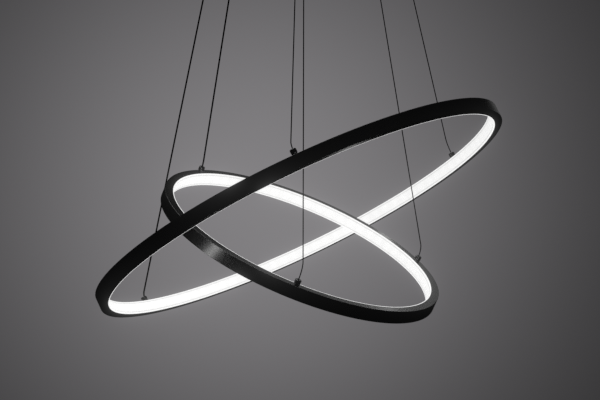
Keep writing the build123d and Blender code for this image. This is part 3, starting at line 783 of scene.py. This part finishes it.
@dataclass(frozen=True)
class LightRing:
    """One ring: a channel with its lit strip, three hangers and three suspension lines.

    Attributes:
        name: Word that starts its nodes' names.
        diameter: Across the channel's outside.
        drop: Ceiling to the ring's middle.
        tilt: Lean of its axis from the upright, degrees.
        lean: Way that the axis leans, degrees from +X towards +Y.
        chips: Number of chips on its light strip.
        grip_radius: Canopy's middle to its grips.
        feed_split: Share of the feed cord's length in its upper stretch.
        seats: Place of each suspension line.
        sway: X place of the ring's middle.
        channel_depth: Channel's outside to its mouth.
        channel_height: Height of the channel's section.
        strip_height: Height of the lit strip.
        hanger_height: Ring's top face to a hanger's mouth.
        nozzle: Level of the grips' mouths under the canopy.
        last_bend: Level of the lines' bend under the grips.
        driver_socket: X place of the feed cord's end in the driver.
        wire_ends: Share of a wire's free way in its foot, and in its neck.
        wire: The steel wires.
        feed: The feed cord.
    """

    name: str
    diameter: float
    drop: float
    tilt: float
    lean: float
    chips: int
    grip_radius: float
    feed_split: float
    seats: dict[Line, LineSeat]
    sway: float = -4.4 * MM
    channel_depth: float = 11.2 * MM
    channel_height: float = 18.0 * MM
    strip_height: float = 18.0 * MM
    hanger_height: float = 7.8 * MM
    nozzle: float = -61.5 * MM
    last_bend: float = -71.5 * MM
    driver_socket: float = -44.1 * MM
    wire_ends: float = 0.1
    wire: LineKind = LineKind(diameter=1.4 * MM, start=1.3 * MM, top=-30.8 * MM, slot="steel_wire")
    feed: LineKind = LineKind(diameter=2.2 * MM, start=-5.1 * MM, top=-14.0 * MM, slot="cord_black")

    @property
    def axis(self) -> np.ndarray:
        """Unit vector along the ring's axis, upwards."""
        tilt, lean = math.radians(self.tilt), math.radians(self.lean)
        return np.array((math.sin(tilt) * math.cos(lean), math.sin(tilt) * math.sin(lean), math.cos(tilt)))

    @property
    def level(self) -> np.ndarray:
        """Unit vector along the level line that the ring leans about."""
        lean = math.radians(self.lean)
        return np.array((-math.sin(lean), math.cos(lean), 0.0))

    @property
    def slope(self) -> np.ndarray:
        """Unit vector in the ring's plane, square to its level line."""
        return np.cross(self.axis, self.level)

    @property
    def centre(self) -> np.ndarray:
        """Middle of the ring."""
        return np.array((self.sway, 0.0, -self.drop))

    @property
    def half_height(self) -> float:
        """Half the lit strip's height."""
        return self.strip_height / 2

    @property
    def lit_radius(self) -> float:
        """Radius of the channel's mouth, which the lit strip covers."""
        return self.diameter / 2 - self.channel_depth

    @property
    def ring_body(self) -> str:
        """Body that the ring's pieces ride on."""
        return f"{self.name}_ring"

    @property
    def line_body(self) -> str:
        """Body that the suspension lines ride on."""
        return f"{self.name}_suspension"

    def kind(self, line: Line) -> LineKind:
        """Whether a line is a wire or the feed cord."""
        return self.feed if line is Line.FEED else self.wire

    def outwards(self, line: Line) -> np.ndarray:
        """Unit vector from the ring's middle towards a hanger."""
        turn = math.radians(self.seats[line].hanger - self.lean - 90.0)
        return math.cos(turn) * self.level + math.sin(turn) * self.slope

    def above_hanger(self, line: Line, height: float) -> np.ndarray:
        """Point on a hanger's axis.

        Args:
            line: The hanger's line.
            height: Height over the ring's top face.

        Returns:
            The point.
        """
        radius = self.diameter / 2 - self.channel_depth / 2
        rise = self.channel_height / 2 + height
        return self.centre + radius * self.outwards(line) + rise * self.axis

    def under_grip(self, line: Line, level: float) -> np.ndarray:
        """Point on the axis of a line's grip in the canopy, at a level."""
        turn = math.radians(self.seats[line].grip)
        return np.array((self.grip_radius * math.cos(turn), self.grip_radius * math.sin(turn), level))

    def route(self, line: Line) -> np.ndarray:
        """Points of a line's route, from inside its hanger up into the canopy.

        The long straight run has one point as far from its lower bend as the line's end is, and one as
        far from its upper bend as the grip's mouth is.

        Args:
            line: Which line.

        Returns:
            Points, one to a row.
        """
        kind = self.kind(line)
        end = self.above_hanger(line, kind.start)
        low = self.above_hanger(line, self.hanger_height + self.seats[line].rise)
        high = self.under_grip(line, self.last_bend)
        run = unit(high - low)
        after_low = low + run * np.linalg.norm(low - end)
        before_high = high - run * (self.nozzle - self.last_bend)
        points = [end, low, after_low, before_high, high, self.under_grip(line, kind.top)]
        if line is Line.FEED:
            points.append(np.array((self.driver_socket, points[-1][1], kind.top)))
        return np.array(points)

    def build_stretch(
        self, name: str, path: np.ndarray, line: Line, finish: bpy.types.Material
    ) -> bpy.types.Object:
        """Tube of a stretch of a suspension line.

        Args:
            name: The piece's name.
            path: Points that it follows.
            line: Which line it belongs to.
            finish: Its material.

        Returns:
            The tube.
        """
        kind = self.kind(line)
        turn = math.radians(self.seats[line].grip)
        side = np.array((-math.sin(turn), math.cos(turn), 0.0))
        tube = make_tube(name, path, kind.diameter, side, kind.sides)
        tube.data.materials.append(finish)
        LOG.info("built %s of %.3f m", name, run_lengths(path)[-1])
        return tube

    def build_wires(self, finish: bpy.types.Material) -> None:
        """Steel wires: each has a seat that turns with the ring, and three stretches baked where they are
        built.

        The smooth step t^2 (3 - 2t), whose inverse is 1/2 - sin(asin(1 - 2w) / 3), gives each stretch a
        reach and a start, so that at both of its ends the step equals the share of the way from the grip
        to the hanger. Nothing uses the reach or the start.

        Args:
            finish: Material of the rope.
        """
        for line in WIRES:
            node = f"{self.name}_{line.value}_wire"
            path = spline_points(self.route(line), self.wire.steps)
            nozzle = self.under_grip(line, self.nozzle)
            way = self.above_hanger(line, self.hanger_height) - nozzle
            share = (path - nozzle) @ way / (way @ way)
            inner = np.searchsorted(-share, (-1.0, self.wire_ends - 1.0, -self.wire_ends))
            cuts = [0, *inner, len(path) - 1]
            share = np.clip(share, 0.0, 1.0)
            step = 0.5 - np.sin(np.arcsin(1.0 - 2.0 * share) / 3.0)
            for stretch, low, high in zip(Stretch, cuts, cuts[1:]):
                points = path[low : high + 1]
                tube = self.build_stretch(f"{node}_{stretch.value}", points, line, finish)
                if stretch is Stretch.SEAT:
                    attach(tube, self.ring_body)
                else:
                    reach = (share[low] - share[high]) / (step[low] - step[high])
                    start = nozzle + (share[high] - step[high] * reach) * way
                    start + reach * way
                    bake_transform(tube)
                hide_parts(node)

    def build_feed(self, finish: bpy.types.Material) -> None:
        """Feed cord in two stretches, lower and upper, each baked where it is built.

        Args:
            finish: Material of the sheath.
        """
        node = f"{self.name}_feed_cord"
        path = spline_points(self.route(Line.FEED), self.feed.steps)
        length = run_lengths(path)
        nozzle = self.under_grip(Line.FEED, self.nozzle)
        mouth = self.above_hanger(Line.FEED, self.hanger_height)
        split = int(np.searchsorted(length, (1.0 - self.feed_split) * length[-1]))
        stretches = {
            "lower": (path[: split + 1], self.line_body, self.ring_body, path[split], mouth),
            "upper": (path[split:], CANOPY_BODY, self.line_body, nozzle, path[split]),
        }
        for word, (points, first, second, start, end) in stretches.items():
            tube = self.build_stretch(f"{node}_{word}", points, Line.FEED, finish)
            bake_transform(tube)
            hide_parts(node)

    def dress_nodes(self) -> None:
        """Finishes that follow the ring's own axis: lit strip, hangers, screws and joiner."""
        turned = BLACK_NICKEL.material(self.axis, f"{self.name}_hanger_")
        screws = BLACK_OXIDE.material(self.axis, f"{self.name}_screw_")
        joiner = PLAIN_ALUMINIUM.material(self.axis, f"{self.name}_joiner_")
        dress(OPAL.material(self), f"{self.name}_diffuser")
        dress(turned, *(f"{self.name}_{line.value}_hanger" for line in Line))
        dress(screws, f"{self.name}_joiner_screws", f"{self.name}_grub_screws")
        dress(joiner, f"{self.name}_joiner")


LARGE_RING = LightRing(
    name="large",
    diameter=600.0 * MM,
    drop=658.4 * MM,
    tilt=28.1,
    lean=155.2,
    chips=103,
    grip_radius=95.0 * MM,
    feed_split=0.6,
    seats={
        Line.FEED: LineSeat(hanger=148.2, rise=1.5 * MM, grip=148.0),
        Line.NEAR: LineSeat(hanger=-87.8, rise=5.0 * MM, grip=-92.0),
        Line.RIGHT: LineSeat(hanger=34.7, rise=13.0 * MM, grip=28.0),
    },
)
SMALL_RING = LightRing(
    name="small",
    diameter=400.0 * MM,
    drop=700.8 * MM,
    tilt=28.0,
    lean=-37.0,
    chips=68,
    grip_radius=66.0 * MM,
    feed_split=0.75,
    seats={
        Line.FEED: LineSeat(hanger=146.9, rise=1.5 * MM, grip=150.0),
        Line.NEAR: LineSeat(hanger=-89.4, rise=14.5 * MM, grip=-90.0),
        Line.RIGHT: LineSeat(hanger=30.5, rise=10.0 * MM, grip=30.0),
    },
)
RINGS = (LARGE_RING, SMALL_RING)


@dataclass(frozen=True)
class MainsLead:
    """One lead between the driver and the terminal block.

    Attributes:
        sheath: Finish of its insulation.
        slot: The record's material slot for it; not used.
        reach: How far it runs out past the driver's end.
    """

    sheath: Sheath
    slot: str
    reach: float


@dataclass(frozen=True)
class Canopy:
    """Ceiling canopy with the driver, the terminal block and the leads between them.

    Attributes:
        driver_end: Right end of the driver.
        driver_row: Y place of the driver's middle.
        block_side: Right side of the terminal block.
        block_row: Y place of the first lead's pole.
        pitch: Spacing of the block's poles and of the leads at the driver.
        level: Level of the leads.
        socket: Depth of a lead's socket.
        seat_gap: Room between a lead's end and the bottom of its socket in the driver.
        lead_diameter: Thickness of a lead.
        lead_steps: Points to each span of a lead's smooth line.
        lead_sides: Faces round a lead's tube.
        leads: The inner lead and the outer.
    """

    driver_end: float = 71.0 * MM
    driver_row: float = 44.0 * MM
    block_side: float = 57.0 * MM
    block_row: float = -40.0 * MM
    pitch: float = 9.0 * MM
    level: float = -10.0 * MM
    socket: float = 5.0 * MM
    seat_gap: float = 0.1 * MM
    lead_diameter: float = 2.0 * MM
    lead_steps: int = 24
    lead_sides: int = 16
    leads: tuple[MainsLead, MainsLead] = (
        MainsLead(BROWN_SHEATH, "lead_brown", reach=12.0 * MM),
        MainsLead(BLUE_SHEATH, "lead_blue", reach=19.0 * MM),
    )

    def lead_route(self, number: int) -> np.ndarray:
        """Points of a mains lead, from the driver round to its pole.

        Args:
            number: 0 for the inner lead, 1 for the outer.

        Returns:
            Points, one to a row.
        """
        start = self.driver_row + (number - 0.5) * self.pitch
        end = self.block_row - number * self.pitch
        out = self.driver_end + self.leads[number].reach
        plan = (
            (self.driver_end - self.socket + self.seat_gap, start),
            (out, start),
            (out, end),
            (self.block_side - self.socket, end),
        )
        return np.array([(x, y, self.level) for x, y in plan])

    def build_leads(self) -> None:
        """Two insulated leads between the driver and the terminal block."""
        for number, lead in enumerate(self.leads):
            node = f"mains_lead_{number + 1}"
            path = spline_points(self.lead_route(number), self.lead_steps)
            tube = make_tube(f"{node}_sheath", path, self.lead_diameter, UP, self.lead_sides)
            tube.data.materials.append(lead.sheath.material())
            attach(tube, CANOPY_BODY)
            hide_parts(node)

    def dress_nodes(self) -> None:
        """Finishes of the cover, the driver, the terminal block and the cord grips' screws."""
        dress(CANOPY_COAT.material(), "canopy_cover")
        dress(DRIVER_CASE.material(), "led_driver")
        dress(NYLON.material(), "terminal_block")
        dress(BLACK_OXIDE.material(mark="grip_screw_"), "cord_grip_screws")


@dataclass(frozen=True)
class SharedFittings:
    """Pieces that take one finish wherever they are on the lamp.

    Attributes:
        rings: The rings.
        zinc: Zinc-plated nodes in the canopy.
    """

    rings: tuple[LightRing, ...] = RINGS
    zinc: tuple[str, ...] = (
        "ceiling_plate",
        "cover_screws",
        "driver_screws",
        "terminal_screws",
        "grip_nuts",
    )

    def dress_nodes(self) -> None:
        """Finishes of the channels, light strips, chips, nuts, plain screws, grips and plungers."""
        names = [ring.name for ring in self.rings]
        wires = [f"{name}_{line.value}" for name in names for line in WIRES]
        grips = [f"{name}_cord_grip" for name in names] + [f"{wire}_gripper" for wire in wires]
        dress(BLACK_COAT.material(), *(f"{name}_channel" for name in names))
        dress(SOLDER_MASK.material(), *(f"{name}_led_strip" for name in names))
        dress(CHIP_RESIN.material(), *(f"{name}_led_chips" for name in names))
        dress(ZINC.material(), *(f"{name}_stud_nuts" for name in names), *self.zinc)
        dress(BLACK_NICKEL.material(mark="grip_"), *grips)
        dress(BRIGHT_NICKEL.material(mark="plunger_"), *(f"{wire}_plunger" for wire in wires))


@dataclass(frozen=True)
class SoftLamp:
    """Softbox, which stays out of the picture but shows in glossy surfaces.

    Attributes:
        name: The light's name.
        place: Middle of its face.
        aim: Point that it faces.
        width: Length of its level sides.
        height: Length of its other sides.
        power: Light that it gives, in watts.
    """

    name: str
    place: Place
    aim: Place
    width: float
    height: float
    power: float

    def hang(self) -> None:
        """Put the light in the scene, turned about the upright and then tipped so that it faces its aim."""
        data = bpy.data.lights.new(self.name, "AREA")
        data.shape = "RECTANGLE"
        data.size = self.width
        data.size_y = self.height
        data.energy = self.power
        lamp = bpy.data.objects.new(self.name, data)
        lamp.location = self.place
        way = unit(np.array(self.aim) - np.array(self.place))
        lamp.rotation_euler = (math.acos(-way[2]), 0.0, math.atan2(way[1], way[0]) - math.pi / 2)
        lamp.visible_camera = False
        bpy.context.scene.collection.objects.link(lamp)


KEY_SOFTBOX = SoftLamp(
    "key_softbox", place=(-1.0, 1.2, 1.9), aim=(0.0, 0.0, -0.6), width=1.6, height=1.6, power=3.0
)
TALL_SOFTBOX = SoftLamp(
    "tall_softbox", place=(0.7, 1.85, 0.0), aim=(0.1, 0.0, -0.5), width=0.7, height=1.5, power=0.5
)
TOP_SOFTBOX = SoftLamp(
    "top_softbox", place=(0.0, -0.02, 2.2), aim=(0.0, 0.0, 0.0), width=2.2, height=2.2, power=6.0
)


@dataclass(frozen=True)
class Studio:
    """Plain pale shell of a backdrop, soft lights and the camera.

    Attributes:
        floor: Level of the floor.
        ceiling: Level of the shell's top.
        floor_radius: Flat part of the floor and of the top.
        pole: Radius of the caps in their middles.
        cove: Radius of the curve between floor and wall.
        floor_steps: Rings of faces on the flat part.
        cove_steps: Points on the curve.
        turns: Faces round the shell.
        pale: Colour of the shell.
        wall_roughness: Roughness of the shell.
        wall_gloss: How strongly the shell mirrors.
        wall_light: The shell's own even light.
        wall_tint: Share of that light in each channel.
        dusk: Light that is left behind the lamp.
        dusk_reach: Distances from the patch of light where the dusk starts to fade and ends.
        glow: Light of the patch behind the lamp.
        glow_place: Middle of that patch, as X and Z.
        glow_spread: Distance over which the patch fades.
        sky_light: Light of the sky that surfaces mirror.
        sky_tint: Colour of that sky.
        lamps: The softboxes.
        camera_place: The camera's place.
        focal_pixels: Focal length, in pixels of the picture.
        image_width: Width of the picture, in pixels.
        sensor: Width of the camera's sensor, in millimetres.
        bloom: Share of the light spread in the lens that is added.
        bloom_from: Brightness from which light spreads.
        bloom_reach: Reach of the spread, from 0 to 1.
        black_point: Light that the picture shows as black.
    """

    floor: float = -6.8
    ceiling: float = 7.2
    floor_radius: float = 6.8
    pole: float = 0.02
    cove: float = 2.7
    floor_steps: int = 12
    cove_steps: int = 25
    turns: int = 128
    pale: Colour = (0.2, 0.2, 0.2)
    wall_roughness: float = 0.9
    wall_gloss: float = 0.1
    wall_light: float = 0.24
    wall_tint: Colour = (1.033, 1.0, 1.041)
    dusk: float = 0.021
    dusk_reach: tuple[float, float] = (2.7, 5.0)
    glow: float = 0.19
    glow_place: tuple[float, float] = (-0.313, -0.573)
    glow_spread: float = 1.245
    sky_light: float = 0.011
    sky_tint: Colour = (1.0, 1.0, 1.02)
    lamps: tuple[SoftLamp, ...] = (KEY_SOFTBOX, TALL_SOFTBOX, TOP_SOFTBOX)
    camera_place: Place = (-5.54 * MM, -2511.7 * MM, -641.8 * MM)
    focal_pixels: float = 1847.3
    image_width: float = 600.0
    sensor: float = 36.0
    bloom: float = 0.65
    bloom_from: float = 0.5
    bloom_reach: float = 0.4
    black_point: float = 0.0045

    def build_backdrop(self) -> None:
        """Closed shell turned about the upright: floor, quarter round, wall, and the same overhead.

        A point is (r cos t, r sin t, z). On the floor r runs out at level z; on the quarter round, with b
        from 0 to a quarter turn, r grows by the cove times sin b and z by the cove times 1 - cos b. The
        wall joins that to its mirror image overhead. The shell shows to the camera alone, so that the lamp
        mirrors the softboxes and the dark sky.
        """
        bend = np.linspace(0.0, math.pi / 2, self.cove_steps)
        flat = np.linspace(self.pole, self.floor_radius, self.floor_steps, endpoint=False)
        radius = np.concatenate((flat, self.floor_radius + self.cove * np.sin(bend)))
        level = self.floor + self.cove * np.concatenate((np.zeros(len(flat)), 1.0 - np.cos(bend)))
        radius = np.concatenate((radius, radius[::-1]))
        level = np.concatenate((level, self.floor + self.ceiling - level[::-1]))
        turn = np.arange(self.turns) * math.tau / self.turns
        across, along = radius[:, None] * np.cos(turn), radius[:, None] * np.sin(turn)
        grid = np.stack(np.broadcast_arrays(across, along, level[:, None]), axis=-1)
        faces = tube_faces(len(radius), self.turns)
        shell = new_piece("studio_shell", grid.reshape(-1, 3), faces, np.ones(len(faces), bool))
        shell.data.materials.append(self.backdrop_material())
        shell.visible_diffuse = False
        shell.visible_glossy = False
        shell.visible_shadow = False
        LOG.info("built %s", shell.name)

    def backdrop_material(self) -> bpy.types.Material:
        """Pale matt wall with its own even light, dusky behind the lamp but for a soft patch of light.

        With d the distance from the patch's middle, on the side behind the lamp, the light is the wall's,
        drawn down to the dusk by a smooth step of d, plus a bell of d for the patch.

        Returns:
            The material.
        """
        shader = Shader("studio_wall")
        middle = np.array((self.glow_place[0], 0.0, self.glow_place[1]))
        across = shader.along(ACROSS, middle)
        height = shader.along(UP, middle)
        behind = shader.maths("GREATER_THAN", shader.along(BACK, middle), 0.0)
        square = across * across + height * height
        patch = shader.maths("EXPONENT", square * (-0.5 / self.glow_spread**2))
        dimmed = shader.smooth_step(square**0.5, self.dusk_reach, (self.wall_light - self.dusk, 0.0))
        light = self.wall_light + behind * (self.glow * patch - dimmed)
        channels = {number: light * share for number, share in enumerate(self.wall_tint)}
        return shader.surface(
            Base_Color=self.pale,
            Roughness=self.wall_roughness,
            Specular_IOR_Level=self.wall_gloss,
            Emission_Color=shader.node("ShaderNodeCombineColor", {}, channels),
            Emission_Strength=1.0,
        )

    def light(self) -> None:
        """Even dark sky and the softboxes."""
        world = bpy.data.worlds.new("studio_sky")
        world.use_nodes = True
        sky = world.node_tree.nodes["Background"]
        sky.inputs["Color"].default_value = (*self.sky_tint, 1.0)
        sky.inputs["Strength"].default_value = self.sky_light
        bpy.context.scene.world = world
        for lamp in self.lamps:
            lamp.hang()
            LOG.info("hung %s", lamp.name)

    def place_camera(self) -> None:
        """Level camera that looks along +Y, with the photograph's angle of view."""
        data = bpy.data.cameras.new("camera")
        data.sensor_fit = "HORIZONTAL"
        data.sensor_width = self.sensor
        data.lens = self.focal_pixels / self.image_width * self.sensor
        camera = bpy.data.objects.new("camera", data)
        camera.location = self.camera_place
        camera.rotation_euler = (math.pi / 2, 0.0, 0.0)
        bpy.context.scene.collection.objects.link(camera)
        bpy.context.scene.camera = camera

    def finish_picture(self) -> None:
        """Plain tone curve, the lens's slight spread of bright light, and the black point."""
        scene = bpy.context.scene
        scene.view_settings.view_transform = "Standard"
        scene.view_settings.look = "None"
        scene.use_nodes = True
        nodes, links = scene.node_tree.nodes, scene.node_tree.links
        nodes.clear()
        layers = nodes.new("CompositorNodeRLayers")
        spread = nodes.new("CompositorNodeGlare")
        spread.glare_type = "BLOOM"
        spread.inputs["Threshold"].default_value = self.bloom_from
        spread.inputs["Strength"].default_value = self.bloom
        spread.inputs["Size"].default_value = self.bloom_reach
        levels = nodes.new("CompositorNodeCurveRGB")
        levels.inputs["Black Level"].default_value = (*[self.black_point] * 3, 1.0)
        output = nodes.new("CompositorNodeComposite")
        links.new(layers.outputs["Image"], spread.inputs["Image"])
        links.new(spread.outputs["Image"], levels.inputs["Image"])
        links.new(levels.outputs["Image"], output.inputs["Image"])


def main() -> None:
    """Build the lamp's new pieces, dress its CAD nodes, and set up the studio."""
    logging.basicConfig(level=logging.INFO, format="%(name)s: %(message)s")
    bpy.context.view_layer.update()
    studio = Studio()
    studio.place_camera()
    rope = STEEL_ROPE.material()
    sheath = FEED_SHEATH.material()
    for ring in RINGS:
        ring.build_wires(rope)
        ring.build_feed(sheath)
        ring.dress_nodes()
    canopy = Canopy()
    canopy.build_leads()
    canopy.dress_nodes()
    SharedFittings().dress_nodes()
    studio.build_backdrop()
    studio.light()
    studio.finish_picture()


if __name__ == "__main__":
    main()
